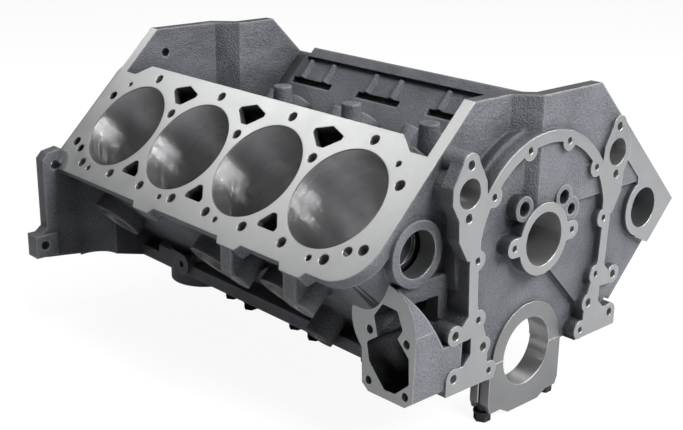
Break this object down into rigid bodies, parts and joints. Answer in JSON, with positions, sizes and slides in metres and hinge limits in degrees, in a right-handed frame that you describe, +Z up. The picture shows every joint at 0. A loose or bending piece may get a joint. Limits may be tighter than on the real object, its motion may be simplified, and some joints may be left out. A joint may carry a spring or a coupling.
{
  "type": "v8 engine block",
  "caption": "Bare cast-iron V engine block with two angled cylinder banks, open valley, front cover rail, bearing caps and bolts.",
  "frame": {"origin": "on the crankshaft axis, in the machined front face that the timing cover seats on", "axes": "+Y along the crankshaft towards the gearbox, +Z up through the camshaft axis, +X towards the bank that is set forward"},
  "size_m": [0.49, 0.517, 0.3088],
  "materials": {
    "cast_iron": "sand-cast grey iron with machined faces",
    "cap_iron": "grey iron, machined on its joint faces",
    "bolt_steel": "black oxide"
  },
  "bodies": {
    "root": {"block_casting": "cast_iron", "main_cap_1": "cap_iron", "main_cap_2": "cap_iron", "main_cap_3": "cap_iron", "main_cap_4": "cap_iron", "main_cap_5": "cap_iron", "main_cap_1_left_bolt": "bolt_steel", "main_cap_1_right_bolt": "bolt_steel", "main_cap_2_left_inner_bolt": "bolt_steel", "main_cap_2_left_outer_bolt": "bolt_steel", "main_cap_2_right_inner_bolt": "bolt_steel", "main_cap_2_right_outer_bolt": "bolt_steel", "main_cap_3_left_inner_bolt": "bolt_steel", "main_cap_3_left_outer_bolt": "bolt_steel", "main_cap_3_right_inner_bolt": "bolt_steel", "main_cap_3_right_outer_bolt": "bolt_steel", "main_cap_4_left_inner_bolt": "bolt_steel", "main_cap_4_left_outer_bolt": "bolt_steel", "main_cap_4_right_inner_bolt": "bolt_steel", "main_cap_4_right_outer_bolt": "bolt_steel", "main_cap_5_left_bolt": "bolt_steel", "main_cap_5_right_bolt": "bolt_steel"}
  },
  "joints": []
}
